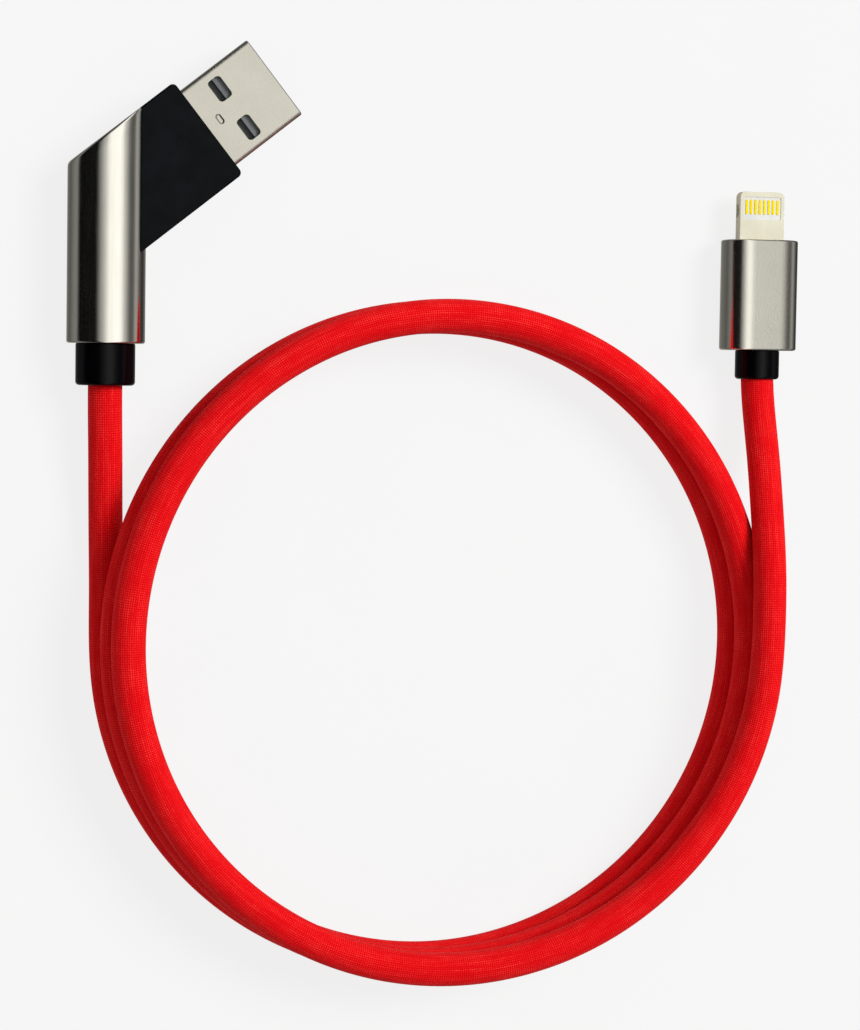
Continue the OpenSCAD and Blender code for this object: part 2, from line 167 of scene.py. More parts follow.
def solid(name, faces, place=None):
    """A mesh object, in metres, from Faces in mm, with its faces turned outwards."""
    points = faces.points if place is None else [place(p) for p in faces.points]
    mesh = bpy.data.meshes.new(name)
    mesh.from_pydata([[v * MM for v in p] for p in points], [], faces.faces)
    bm = bmesh.new()
    bm.from_mesh(mesh)
    bmesh.ops.recalc_face_normals(bm, faces=bm.faces)
    bm.to_mesh(mesh)
    bm.free()
    obj = bpy.data.objects.new(name, mesh)
    scene.collection.objects.link(obj)
    return obj


def cut(obj, *cutters):
    """Subtracts the cutters from obj and removes them."""
    for c in cutters:
        m = obj.modifiers.new("cut", "BOOLEAN")
        m.operation, m.solver, m.object = "DIFFERENCE", "EXACT", c
    done = bpy.data.meshes.new_from_object(
        obj.evaluated_get(bpy.context.evaluated_depsgraph_get())
    )
    obj.modifiers.clear()
    obj.data = done
    for c in cutters:
        bpy.data.objects.remove(c)
    return obj


def smooth(obj, angle=32):
    """Smooth shading that keeps flat faces flat and edges over the angle sharp."""
    obj.data.shade_smooth()
    obj.data.set_sharp_from_angle(angle=math.radians(angle))
    m = obj.modifiers.new("normals", "WEIGHTED_NORMAL")
    m.keep_sharp = True
    return obj


def piece(obj, slot, *nodes):
    """Takes obj into the model: it rides on the one body, and stands for the nodes."""
    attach(obj, "root")
    if nodes:
        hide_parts(*nodes)
    obj.data.materials.clear()
    obj.data.materials.append(finish[slot])
    return obj


def corner_ring(w, h, r, n=8):
    """Points of a rectangle with round corners, anticlockwise from the right side."""
    out = []
    for k, (sx, sy) in enumerate(((1, 1), (-1, 1), (-1, -1), (1, -1))):
        for i in range(n + 1):
            a = math.pi / 2 * (k + i / n)
            out.append(
                (
                    sx * (w / 2 - r) + r * math.cos(a),
                    sy * (h / 2 - r) + r * math.sin(a),
                )
            )
    return out


def inset_ring(ring, by):
    """A closed flat ring moved inwards by a distance, its corners mitred."""
    p = np.array(ring, float)
    t = np.roll(p, -1, 0) - p
    t /= np.linalg.norm(t, axis=1)[:, None]
    n = np.stack((-t[:, 1], t[:, 0]), 1)
    m = n + np.roll(n, 1, 0)
    m /= (m * m).sum(1)[:, None] / 2
    return p + by * m


def edge_steps(r, n=5):
    """(inset, distance from the end) of a rounded edge, from its end face to its side."""
    return [
        (r - r * math.sin(a), r - r * math.cos(a))
        for a in (math.pi / 2 * i / n for i in range(n + 1))
    ]


def capped(rings):
    """Faces of a closed solid through the rings, with both ends filled."""
    f = Faces()
    f.rings(rings)
    f.add(*rings[0])
    f.add(*rings[-1])
    return f


def front_corners(w, front, r, n=8):
    """Points round the two front corners of a flat outline, from its right side to its left."""
    return [
        (sx * (w / 2 - r) + r * math.cos(a), front - r + r * math.sin(a))
        for sx, start in ((1, 0), (-1, math.pi / 2))
        for a in (start + math.pi / 2 * i / n for i in range(n + 1))
    ]


def prism(outline, z0, z1, r, n=5):
    """Faces of a prism on a flat outline, with its top and bottom edges rounded."""
    rings = [[(x, y, z0 + d) for x, y in inset_ring(outline, i)] for i, d in edge_steps(r, n)]
    rings += [
        [(x, y, z1 - d) for x, y in inset_ring(outline, i)]
        for i, d in reversed(edge_steps(r, n))
    ]
    return capped(rings)


def lathe(profile, n=72):
    """Faces of a closed ring that is turned round the Y axis from (radius, y) points."""
    f = Faces()
    f.rings(
        [
            [(r * math.cos(TAU * i / n), y, r * math.sin(TAU * i / n)) for i in range(n)]
            for r, y in profile
        ],
        looped=True,
    )
    return f


def box_faces(lo, hi):
    """Faces of a box between two corners."""
    f = Faces()
    x, y, z = zip(lo, hi)
    a = [(x[0], y[0]), (x[1], y[0]), (x[1], y[1]), (x[0], y[1])]
    low, high = [(*p, z[0]) for p in a], [(*p, z[1]) for p in a]
    f.strip(low, high)
    f.add(*low)
    f.add(*high)
    return f


# ---------------------------------------------------------------- materials


class Nodes:
    """Short names for building a material's nodes."""

    def __init__(self, name):
        self.material = bpy.data.materials.new(name)
        self.material.use_nodes = True
        self.tree = self.material.node_tree
        self.shader = self.tree.nodes["Principled BSDF"]
        self.where = self.add("TexCoord").outputs["Object"]

    def add(self, kind, **values):
        n = self.tree.nodes.new("ShaderNode" + kind)
        for k, v in values.items():
            setattr(n, k, v)
        return n

    def link(self, a, b):
        self.tree.links.new(a, b)

    def set(self, **values):
        for k, v in values.items():
            self.shader.inputs[k.replace("_", " ")].default_value = v

    def noise(self, scale, detail=3, rough=0.55, stretch=None):
        """Noise whose features are about 1/scale metres, stretched along an axis if asked."""
        where = self.where
        if stretch:
            m = self.add("Mapping")
            m.inputs["Scale"].default_value = stretch
            self.link(where, m.inputs["Vector"])
            where = m.outputs["Vector"]
        n = self.add("TexNoise")
        n.inputs["Scale"].default_value = scale
        n.inputs["Detail"].default_value = detail
        n.inputs["Roughness"].default_value = rough
        self.link(where, n.inputs["Vector"])
        return n.outputs["Fac"]

    def math(self, how, a, b=0.0, c=None, clamp=False):
        n = self.add("Math", operation=how, use_clamp=clamp)
        for k, v in enumerate((a, b) if c is None else (a, b, c)):
            if isinstance(v, (int, float)):
                n.inputs[k].default_value = v
            else:
                self.link(v, n.inputs[k])
        return n.outputs[0]

    def span(self, value, lo, hi, low=0.3, high=0.7):
        """Maps value from low..high onto lo..hi."""
        n = self.add("MapRange")
        for k, v in zip(("From Min", "From Max", "To Min", "To Max"), (low, high, lo, hi)):
            n.inputs[k].default_value = v
        self.link(value, n.inputs["Value"])
        return n.outputs["Result"]

    def blend(self, value, a, b):
        n = self.add("Mix", data_type="RGBA")
        n.inputs["A"].default_value = (*a, 1)
        n.inputs["B"].default_value = (*b, 1)
        self.link(value, n.inputs["Factor"])
        return n.outputs["Result"]

    def bump(self, height, distance, strength=1.0):
        n = self.add("Bump")
        n.inputs["Distance"].default_value = distance
        n.inputs["Strength"].default_value = strength
        self.link(height, n.inputs["Height"])
        self.link(n.outputs["Normal"], self.shader.inputs["Normal"])


def metal(name, dark, light, rough, grain, grain_depth, stretch=None, spread=0.05):
    """Satin or polished metal: faint tone changes, uneven gloss and a fine surface grain."""
    k = Nodes(name)
    k.set(Metallic=1.0)
    fine = k.noise(grain, 2, stretch=stretch)
    tone = k.math("MULTIPLY_ADD", k.noise(260, 2), 0.25, k.math("MULTIPLY", fine, 0.75))
    k.link(k.blend(k.span(tone, 0, 1), dark, light), k.shader.inputs["Base Color"])
    k.link(k.span(fine, rough - spread, rough + spread), k.shader.inputs["Roughness"])
    k.bump(fine, grain_depth)
    return k.material


def plastic(name, dark, light, rough, level, grain, grain_depth, spread=0.06):
    """Moulded plastic: a faint mottle, uneven gloss and a fine moulded texture."""
    k = Nodes(name)
    k.set(Specular_IOR_Level=level)
    tone = k.noise(400, 3)
    k.link(k.blend(k.span(tone, 0, 1), dark, light), k.shader.inputs["Base Color"])
    fine = k.noise(grain, 3)
    k.link(k.span(fine, rough - spread, rough + spread), k.shader.inputs["Roughness"])
    k.bump(fine, grain_depth)
    return k.material


CELL = 0.3  # mm, spacing of the cord's stitches along it
CELLS_ROUND = 48


def fabric():
    """Woven cover: warp and weft threads that pass over each other, with a soft sheen, painted
    shade between the threads and painted highlights on their tops.
    """
    k = Nodes("cord_fabric")
    k.set(Sheen_Weight=0.07, Sheen_Roughness=0.25, Sheen_Tint=(1.0, 0.5, 0.45, 1))
    k.set(Specular_IOR_Level=0.03)
    uv = k.add("UVMap", uv_map="cord_uv")
    cells = k.add("SeparateXYZ")
    k.link(uv.outputs["UV"], cells.inputs["Vector"])
    along, round_ = cells.outputs["X"], cells.outputs["Y"]

    def wave(value):
        """1 in the middle of each thread and 0 between two."""
        return k.math("ABSOLUTE", k.math("SINE", k.math("MULTIPLY", value, math.pi)))

    warp, weft = wave(round_), wave(along)
    parity = k.math(
        "PINGPONG", k.math("ADD", k.math("FLOOR", along), k.math("FLOOR", round_)), 1
    )
    over = k.math("MULTIPLY", warp, k.math("MULTIPLY_ADD", weft, 0.45, 0.55))
    under = k.math("MULTIPLY", weft, k.math("MULTIPLY_ADD", warp, 0.45, 0.55))
    height = k.add("Mix", data_type="FLOAT")
    k.link(parity, height.inputs["Factor"])
    k.link(under, height.inputs["A"])
    k.link(over, height.inputs["B"])
    height = height.outputs["Result"]
    fuzz = k.noise(9000, 3)
    patches = k.noise(350, 3)
    # Painted shade: the red darkens between and under the threads and lightens on their tops; fuzz,
    # patches and streaks add random tone.
    thread_shade_and_tone = k.math("MULTIPLY_ADD", height, 0.48, k.span(fuzz, 0.2, 0.4))
    thread_shade_and_tone = k.math("MULTIPLY", thread_shade_and_tone, k.span(patches, 0.92, 1.06))
    lines = k.add("Mapping")
    lines.inputs["Scale"].default_value = (0.045, 0.6, 1)
    k.link(uv.outputs["UV"], lines.inputs["Vector"])
    streaks = k.add("TexNoise")
    streaks.inputs["Scale"].default_value = 1
    streaks.inputs["Detail"].default_value = 3
    k.link(lines.outputs["Vector"], streaks.inputs["Vector"])
    thread_shade_and_tone = k.math("MULTIPLY", thread_shade_and_tone, k.span(streaks.outputs["Fac"], 0.84, 1.1))
    level = k.math("MULTIPLY", thread_shade_and_tone, 1.0, clamp=True)
    # The dark red is the painted shade in the weave, the light red the lit thread tops.
    red = k.blend(level, (0.40, 0.0002, 0.0012), (0.87, 0.008, 0.012))
    # Painted highlight: pale pink mixed onto the brightest thread tops.
    thread_top_highlight = k.add("Mix", data_type="RGBA")
    thread_top_highlight.inputs["B"].default_value = (0.88, 0.11, 0.08, 1)
    k.link(k.span(thread_shade_and_tone, 0, 0.75, 0.66, 1.0), thread_top_highlight.inputs["Factor"])
    k.link(red, thread_top_highlight.inputs["A"])
    k.link(thread_top_highlight.outputs["Result"], k.shader.inputs["Base Color"])
    k.link(k.span(fuzz, 0.62, 0.82), k.shader.inputs["Roughness"])
    k.bump(k.math("ADD", height, k.math("MULTIPLY", fuzz, 0.3)), 0.000045)
    return k.material


# Darkest and lightest tone, roughness, grain per metre and its depth, then stretch and spread
METALS = {
    "plug_steel": ((0.60, 0.585, 0.525), (0.73, 0.715, 0.655), 0.33, 5200, 0.000012),
    "sleeve_metal": (
        (0.81, 0.79, 0.74), (0.89, 0.87, 0.82), 0.13, 2600, 0.0000015, (1, 0.06, 1), 0.03,
    ),
    "housing_metal": ((0.74, 0.72, 0.66), (0.83, 0.81, 0.75), 0.2, 5600, 0.000007),
    "contact_gold": ((0.86, 0.60, 0.20), (0.95, 0.72, 0.32), 0.2, 4000, 0.000003),
    "shield_steel": ((0.58, 0.58, 0.56), (0.70, 0.70, 0.67), 0.3, 3000, 0.000005),
    "crimp_brass": ((0.72, 0.60, 0.34), (0.83, 0.71, 0.45), 0.28, 3000, 0.000006),
}
# Darkest and lightest tone, roughness, specular level, grain per metre and its depth
PLASTICS = {
    "body_black": ((0.0022, 0.0026, 0.0034), (0.004, 0.0045, 0.0058), 0.42, 0.07, 6000, 0.000006),
    "collar_black": ((0.0004, 0.0005, 0.001), (0.0008, 0.0009, 0.0015), 0.22, 0.17, 4000, 0.000002),
    "usb_insulator": ((0.10, 0.105, 0.11), (0.15, 0.155, 0.16), 0.4, 0.4, 5000, 0.000006),
    "inner_mould": ((0.72, 0.71, 0.66), (0.83, 0.82, 0.78), 0.5, 0.4, 3000, 0.00001),
    "tongue_metal": ((0.55, 0.525, 0.41), (0.60, 0.575, 0.455), 0.34, 0.3, 6500, 0.000003),
    "contact_block": ((0.54, 0.54, 0.52), (0.61, 0.61, 0.59), 0.45, 0.3, 6000, 0.000006),
    "contact_yellow": ((0.76, 0.56, 0.001), (0.82, 0.62, 0.002), 0.3, 0.12, 5000, 0.000004),
    "insert_grey": ((0.42, 0.42, 0.40), (0.52, 0.52, 0.50), 0.5, 0.4, 4000, 0.000006),
    "circuit_board": ((0.01, 0.10, 0.05), (0.02, 0.16, 0.08), 0.35, 0.5, 2600, 0.00001),
    "chip_black": ((0.008, 0.008, 0.009), (0.016, 0.016, 0.018), 0.55, 0.3, 5000, 0.000008),
    "board_parts": ((0.35, 0.27, 0.16), (0.50, 0.40, 0.26), 0.4, 0.5, 2500, 0.000006),
    "wire_red": ((0.50, 0.01, 0.01), (0.66, 0.02, 0.02), 0.4, 0.4, 2500, 0.000008),
    "wire_white": ((0.76, 0.76, 0.74), (0.85, 0.85, 0.83), 0.4, 0.4, 2500, 0.000008),
    "wire_green": ((0.01, 0.24, 0.04), (0.02, 0.34, 0.07), 0.4, 0.4, 2500, 0.000008),
    "wire_black": ((0.006, 0.006, 0.007), (0.013, 0.013, 0.015), 0.4, 0.4, 2500, 0.000008),
}
finish = {name: metal(name, *values) for name, values in METALS.items()}
finish.update({name: plastic(name, *values) for name, values in PLASTICS.items()})
finish["cord_fabric"] = fabric()

# ---------------------------------------------------------------- the cord

# Route of the cord's centre from the coil up to the USB plug, and down to the phone plug
usb_route = [
    [-44.9, -56.9, 2.25], [-44.9, -53, 2.25], [-44.9, -49, 2.3], [-45, -45, 2.5],
    [-45.1, -41, 2.9], [-45.2, -37, 3.4], [-45.3, -33, 4], [-45.4, -29, 4.5],
    [-45.5, -26, 4.7], [-45.5, -22.7, 4.8], [-45.5, -18, 4.8], [-45.5, -12.3, 4.8],
]
phone_route = [
    [44.9, -56.6, 11.05], [44.95, -53, 11.05], [45, -49, 10.9], [45, -45, 10.4],
    [45.05, -41, 9.4], [45.15, -37, 8.1], [45.3, -33, 6.65], [45.35, -29, 5.15],
    [45.2, -25, 4.05], [45, -21, 3.54], [45, -17, 3.53], [45, -14.2, 3.53],
]
POINTS_A_TURN = 36
RING_GAP = 0.55
CORD_SIDES = 40
SMOOTH_PASSES, SMOOTH_SHARE = 40, 0.25


def coil_point(t):
    """The coil's centre line after t turns: each turn lies flat, then climbs over the top."""
    n = min(math.floor(t), TURNS_HIGH - 1)
    g = 0.0 if n == TURNS_HIGH - 1 else min(max((t - n - 0.5) / 0.5, 0), 1)
    h = n + g * g * (3 - 2 * g)
    a = math.pi + TAU * t
    u = h - 1
    return (
        COIL_R * math.cos(a) + TURN_LEAN * u,
        COIL_Y + COIL_R * math.sin(a) + TURN_LEAN_Y * u,
        CORD_D / 2 + TURN_RISE * h,
    )


def smooth_line(points, gap):
    """A smooth line through the points, as evenly spaced points."""
    p = np.array(points, float)
    p = np.vstack((2 * p[0] - p[1], p, 2 * p[-1] - p[-2]))
    out = []
    for i in range(1, len(p) - 2):
        a, b, c, d = p[i - 1 : i + 3]
        ab, bc, cd = (max(np.linalg.norm(q), 1e-6) for q in (b - a, c - b, d - c))
        m0 = bc * ((b - a) / ab * bc + (c - b) / bc * ab) / (ab + bc)
        m1 = bc * ((c - b) / bc * cd + (d - c) / cd * bc) / (bc + cd)
        for s in np.linspace(0, 1, 24, endpoint=False):
            s2, s3 = s * s, s * s * s
            out.append(
                (2 * s3 - 3 * s2 + 1) * b
                + (s3 - 2 * s2 + s) * m0
                + (3 * s2 - 2 * s3) * c
                + (s3 - s2) * m1
            )
    out = np.array(out + [p[-2]])
    far = np.concatenate(([0], np.cumsum(np.linalg.norm(np.diff(out, axis=0), axis=1))))
    n = max(2, int(round(far[-1] / gap)))
    at = np.linspace(0, far[-1], n + 1)
    return np.stack([np.interp(at, far, out[:, k]) for k in range(3)], 1)


turn_points = int(POINTS_A_TURN * TURNS)
coil = [coil_point(TURNS * i / turn_points) for i in range(1, turn_points)]
line = smooth_line(usb_route[::-1] + coil + phone_route, RING_GAP)
for _ in range(SMOOTH_PASSES):
    line[1:-1] += SMOOTH_SHARE * (line[:-2] + line[2:] - 2 * line[1:-1])


def tube(name, line, radius, sides, uv_name):
    """A closed round tube along a line, with its length and turn in stitches as its UV map."""
    t = np.gradient(line, axis=0)
    t /= np.linalg.norm(t, axis=1)[:, None]
    side = np.cross(t[0], (0, 0, 1))
    side /= np.linalg.norm(side)
    rings, verts = [], []
    a = TAU * np.arange(sides) / sides
    for i in range(len(line)):
        side = side - t[i] * side.dot(t[i])
        side /= np.linalg.norm(side)
        up = np.cross(side, t[i])
        verts.append(line[i] + radius * (np.cos(a)[:, None] * side + np.sin(a)[:, None] * up))
    n = len(line)
    faces, uvs = [], []
    far = np.concatenate(([0], np.cumsum(np.linalg.norm(np.diff(line, axis=0), axis=1)))) / CELL
    turn = CELLS_ROUND / sides
    for i in range(n - 1):
        for k in range(sides):
            b = (k + 1) % sides
            faces.append((i * sides + k, i * sides + b, (i + 1) * sides + b, (i + 1) * sides + k))
            uvs += [
                (far[i], k * turn),
                (far[i], (k + 1) * turn),
                (far[i + 1], (k + 1) * turn),
                (far[i + 1], k * turn),
            ]
    for ring in (range(sides - 1, -1, -1), range((n - 1) * sides, n * sides)):
        faces.append(tuple(ring))
        uvs += [(0.0, 0.0)] * sides
    mesh = bpy.data.meshes.new(name)
    mesh.from_pydata(np.concatenate(verts) * MM, [], faces)
    layer = mesh.uv_layers.new(name=uv_name)
    layer.data.foreach_set("uv", np.array(uvs, np.float32).ravel())
    mesh.shade_smooth()
    mesh.set_sharp_from_angle(angle=math.radians(60))
    obj = bpy.data.objects.new(name, mesh)
    scene.collection.objects.link(obj)
    return obj


cord = piece(
    tube("cord", line, CORD_D / 2, CORD_SIDES, "cord_uv"),
    "cord_fabric",
    "cord_coil",
    "cord_tail_usb",
    "cord_tail_phone",
)

# ---------------------------------------------------------------- USB plug


def usb_shell():
    """Folded steel shell with a rolled tip, two windows in each broad face, a dimple and a seam."""
    f = Faces()
    flat_x, seam = SHELL_W / 2 - SHELL_R, SHELL_SEAM
    lip = SHELL_WALL / 2
    profile = [(0, SHELL_BACK), (0, SHELL_TIP - lip)]
    profile += [
        (lip - lip * math.cos(a), SHELL_TIP - lip + lip * math.sin(a))
        for a in (math.pi * i / 8 for i in range(1, 8))
    ]
    profile += [(SHELL_WALL, SHELL_TIP - lip), (SHELL_WALL, SHELL_BACK)]

    def ring(inset, y):
        """From the seam round the shell and back to it."""
        r = SHELL_R - inset
        arcs = corner_ring(SHELL_W - 2 * inset, SHELL_T - 2 * inset, r)
        low = -(SHELL_T / 2 - inset)
        return (
            [(seam, y, low)]
            + [(x, y, z) for x, z in arcs[27:] + arcs[:27]]
            + [(-seam, y, low)]
        )

    rings = [ring(*p) for p in profile]
    # The flat strips: under the right half, over the top, and under the left half
    flats = (0, 18, 36)
    for i, (a, b) in enumerate(zip(rings, rings[1:])):
        long_part = i in (0, len(rings) - 2)
        f.strip(a, b, closed=False, skip=flats if long_part else ())
    f.strip(rings[-1], rings[0], closed=False)
    f.add(*(r[0] for r in rings))
    f.add(*(r[-1] for r in rings))

    def outline(x, y, w, l, r, z):
        return [(x + px, y + py, z) for px, py in corner_ring(w, l, r, 6)]

    def window(x, grow, z):
        return outline(x, WINDOW_Y, WINDOW_W + grow, WINDOW_L + grow, WINDOW_R + grow / 2, z)

    def dimple(grow, z):
        return outline(0, DIMPLE_Y, DIMPLE_W + grow, DIMPLE_L + grow, DIMPLE_R + grow / 2, z)

    edge = 0.07
    y0, y1 = SHELL_BACK, SHELL_TIP - lip
    dish = [(0.2, 0), (0.1, 0.03), (0, 0.09), (-0.1, 0.13), (-0.22, 0.15)]
    for top in (1, -1):
        for inset, z in ((0, SHELL_T / 2), (SHELL_WALL, SHELL_T / 2 - SHELL_WALL)):
            windows = [window(x, 2 * edge, top * z) for x in (WINDOW_X, -WINDOW_X)]
            if top == 1:
                holes = list(windows)
                if inset == 0:
                    holes.append(dimple(dish[0][0], z))
                corners = ((-flat_x, y0), (flat_x, y0), (flat_x, y1), (-flat_x, y1))
                f.plate([(x, y, z) for x, y in corners], holes)
            else:
                for s, hole in zip((1, -1), windows):
                    a, b = s * seam, s * flat_x
                    corners = ((a, y0), (b, y0), (b, y1), (a, y1))
                    f.plate([(x, y, -z) for x, y in corners], [hole])
        for x in (WINDOW_X, -WINDOW_X):
            steps = edge_steps(edge, 4)
            walls = [(2 * i, SHELL_T / 2 - d) for i, d in steps]
            walls += [(2 * i, SHELL_T / 2 - SHELL_WALL + d) for i, d in reversed(steps)]
            f.rings([window(x, grow, top * z) for grow, z in walls])
    rings = [dimple(grow, SHELL_T / 2 - d) for grow, d in dish]
    f.rings(rings)
    f.add(*rings[-1])
    return f


# Faces that look straight up or down stay flat
STRAIGHT = 0.9999
shell = smooth(solid("usb_shell_pressed", usb_shell(), head))
for p in shell.data.polygons:
    p.use_smooth = abs(p.normal.z) < STRAIGHT
piece(shell, "plug_steel", "usb_shell")


def body_outline():
    """The body in plan, in the row frame, anticlockwise, from its hidden back edge."""
    slant = -BODY_W / 2
    c, s = math.cos(BEND), math.sin(BEND)

    def back(x):
        """Point of the side at x that meets the back plane, in the row frame."""
        y = (BODY_BACK_X - USB_AT[0] - x * c) / s
        return head((x, y, 0))[:2]

    front = [head((x, y, 0))[:2] for x, y in front_corners(BODY_W, HEAD_LEN, BODY_CORNER)]
    return [back(-slant)] + front + [back(slant)]


BODY_EDGE = 0.35
low, high = USB_AT[2] - BODY_T / 2, USB_AT[2] + BODY_T / 2
body = solid("usb_body_moulded", prism(body_outline(), low, high, BODY_EDGE))
ring = corner_ring(SHELL_W, SHELL_T, SHELL_R)
shell_hole = capped([[(x, y, z) for x, z in ring] for y in (HEAD_LEN - 2, HEAD_LEN + 1)])
CAVITY_X, CAVITY_Z, CAVITY_BACK, FRONT_WALL = 6.2, 2.45, -12, 1.4
cavity = box_faces(
    (-CAVITY_X, CAVITY_BACK, -CAVITY_Z), (CAVITY_X, HEAD_LEN - FRONT_WALL, CAVITY_Z)
)
cut(body, solid("hole", shell_hole, head), solid("cavity", cavity, head))
piece(smooth(body), "body_black", "usb_body")

SLEEVE_POWER_RIGHT, SLEEVE_POWER_LEFT = 2.6, 2.0
SLEEVE_SIDES = 128


def sleeve_ring(inset):
    """The sleeve's section: crowned broad faces, and rounder on the side away from the body."""
    out = []
    for i in range(SLEEVE_SIDES):
        a = TAU * i / SLEEVE_SIDES
        c, s = math.cos(a), math.sin(a)
        power = SLEEVE_POWER_RIGHT if c > 0 else SLEEVE_POWER_LEFT
        out.append(
            (
                (SLEEVE_W / 2 - inset) * math.copysign(abs(c) ** (2 / power), c),
                (SLEEVE_T / 2 - inset) * math.copysign(abs(s) ** (2 / power), s),
            )
        )
    return out


def slant_y(x, depth=0.0):
    """Where the sleeve's slanted end plane, moved in by a depth, is at x from the sleeve's axis."""
    c, s = math.cos(BEND), math.sin(BEND)
    return USB_AT[1] + (BODY_W / 2 - depth + c * x) / s


def sleeve_faces(inset, y0, foot, edge):
    """The sleeve's outside, or its inside with an inset: square foot, slanted and rounded end."""
    rings = []
    if foot:
        for i, d in edge_steps(foot, 4):
            rings.append([(x, y0 + d, z) for x, z in sleeve_ring(inset + i)])
    else:
        rings.append([(x, y0, z) for x, z in sleeve_ring(inset)])
    outline = sleeve_ring(inset)
    for share in (0.25, 0.5, 0.75, 0.95):
        rings.append(
            [(x, y0 + share * (slant_y(x, inset) - edge - y0), z) for x, z in outline]
        )
    middle = np.array((0, slant_y(0, inset), 0))
    corners = [np.array((x, slant_y(x, inset), z)) for x, z in outline]
    starts = [p - np.array((0, edge, 0)) for p in corners]
    stops = [p + edge * (middle - p) / np.linalg.norm(middle - p) for p in corners]
    for k in range(7):
        s = k / 6
        rings.append(
            [
                (1 - s) ** 2 * a + 2 * s * (1 - s) * p + s * s * b
                for a, p, b in zip(starts, corners, stops)
            ]
        )
    return capped(rings)


SLEEVE_FOOT, SLEEVE_EDGE, SLEEVE_END_WALL = 0.3, 0.5, 0.8
tube_out = solid("usb_sleeve_bent", sleeve_faces(0, SLEEVE_Y, SLEEVE_FOOT, SLEEVE_EDGE), sleeve)
tube_in = solid("inside", sleeve_faces(SLEEVE_WALL, SLEEVE_Y + SLEEVE_END_WALL, 0, 0.2), sleeve)
NECK_R, NECK_SIDES = 3.2, 64
turn = [TAU * i / NECK_SIDES for i in range(NECK_SIDES)]
neck = capped(
    [
        [(NECK_R * math.cos(a), y, NECK_R * math.sin(a)) for a in turn]
        for y in (SLEEVE_Y - 1, SLEEVE_Y + 2)
    ]
)
GAP = 0.01  # mm, between the body and the sleeve's mouth
mouth = prism(inset_ring(body_outline(), -GAP), low - GAP, high + GAP, BODY_EDGE)
cut(tube_out, tube_in, solid("neck", neck, sleeve), solid("mouth", mouth))
piece(smooth(tube_out), "sleeve_metal", "usb_sleeve")


def collar_profile(d, y0, y1, neck_d, neck_y, bore, edge=0.5):
    """Outline of a collar, cord end first: rounded lip, straight side, neck and bore."""
    r = d / 2
    lip = 0.25
    out = [(bore, y0 + lip), (bore + 0.08, y0 + 0.07), (bore + 0.25, y0)]
    out += [
        (r - edge + edge * math.sin(a), y0 + edge - edge * math.cos(a))
        for a in (math.pi / 2 * i / 10 for i in range(11))
    ]
    out += [(r, y1 - 0.12), (r - 0.12, y1), (neck_d / 2, y1), (neck_d / 2, neck_y), (bore, neck_y)]
    return out


CORD_BORE = 2.3
collar = lathe(collar_profile(*USB_COLLAR, CORD_BORE))
piece(smooth(solid("usb_collar_turned", collar, sleeve)), "collar_black", "usb_collar")
collar = lathe(collar_profile(*PHONE_COLLAR, CORD_BORE))
phone_collar = piece(
    smooth(solid("phone_collar_turned", collar, phone)), "collar_black", "phone_collar"
)

# ---------------------------------------------------------------- phone plug


HOUSING_POWER = 2.6


def bar_ring(w, h, power, n=24):
    """A flat bar's section: its round sides are half circles at power 2, and squarer above it."""
    out = []
    for k, (sx, sy) in enumerate(((1, 1), (-1, 1), (-1, -1), (1, -1))):
        for i in range(n + 1):
            c, s = math.cos(math.pi / 2 * (k + i / n)), math.sin(math.pi / 2 * (k + i / n))
            out.append(
                (
                    sx * (w - h) / 2 + h / 2 * math.copysign(abs(c) ** (2 / power), c),
                    sy * 1e-4 + h / 2 * math.copysign(abs(s) ** (2 / power), s),
                )
            )
    return out


def housing_faces():
    """Metal housing: rolled front rim, eased back edge, and an end wall with the collar's hole."""
    f = Faces()
    rim, ease, wall = HOUSING_WALL / 2, 0.3, HOUSING_WALL
    back, floor_y = -HOUSING_LEN, HOUSING_END_WALL - HOUSING_LEN

    def section(inset, y):
        power = HOUSING_POWER + (2 - HOUSING_POWER) * inset / wall
        ring = bar_ring(HOUSING_W - 2 * inset, HOUSING_T - 2 * inset, power)
        return [(x, y, z) for x, z in ring]

    def hole(y):
        turn = (math.atan2(z, x) for x, _, z in section(0, 0))
        return [(HOUSING_HOLE_R * math.cos(a), y, HOUSING_HOLE_R * math.sin(a)) for a in turn]

    rings = [hole(back)]
    rings += [section(i, back + d) for i, d in edge_steps(ease, 4)]
    rings += [section(0, -rim)]
    rings += [
        section(rim - rim * math.cos(a), -rim + rim * math.sin(a))
        for a in (math.pi * i / 10 for i in range(1, 10))
    ]
    rings += [section(wall, -rim), section(wall, floor_y), hole(floor_y)]
    f.rings(rings, looped=True)
    return f


housing = piece(
    smooth(solid("phone_housing_drawn", housing_faces(), phone)), "housing_metal", "phone_housing"
)


def tongue_outline():
    """The tongue in plan, anticlockwise from its hidden back edge."""
    back = [(-TONGUE_W / 2, -TONGUE_IN), (TONGUE_W / 2, -TONGUE_IN)]
    return back + front_corners(TONGUE_W, TONGUE_OUT, TONGUE_CORNER)


def disc(x, y, r, h, n=64):
    """Faces of a round plate of height h, centred on z = 0."""
    return capped(
        [
            [(x + r * math.cos(TAU * i / n), y + r * math.sin(TAU * i / n), z) for i in range(n)]
            for z in (-h / 2, h / 2)
        ]
    )


middle_y = (BLOCK_BACK + BLOCK_FRONT) / 2
ring = corner_ring(2 * BLOCK_X, BLOCK_FRONT - BLOCK_BACK, 0.3)
window = prism([(x, y + middle_y) for x, y in ring], -1, 1, 0.01, 1)
# Room in the tongue for the board's tab
slit = box_faces((-2.65, -5, -0.35), (2.65, 3.8, 0.35))
detents = [
    disc(side * (TONGUE_W / 2 + DETENT_R - DETENT_DEPTH), DETENT_Y, DETENT_R, DETENT_H)
    for side in (-1, 1)
]
tongue = solid(
    "phone_tongue_rounded", prism(tongue_outline(), -TONGUE_T / 2, TONGUE_T / 2, 0.18), phone
)
cut(
    tongue,
    solid("window", window, phone),
    solid("slit", slit, phone),
    *(solid("detent", d, phone) for d in detents),
)
tongue = piece(smooth(tongue), "tongue_metal", "phone_tongue")


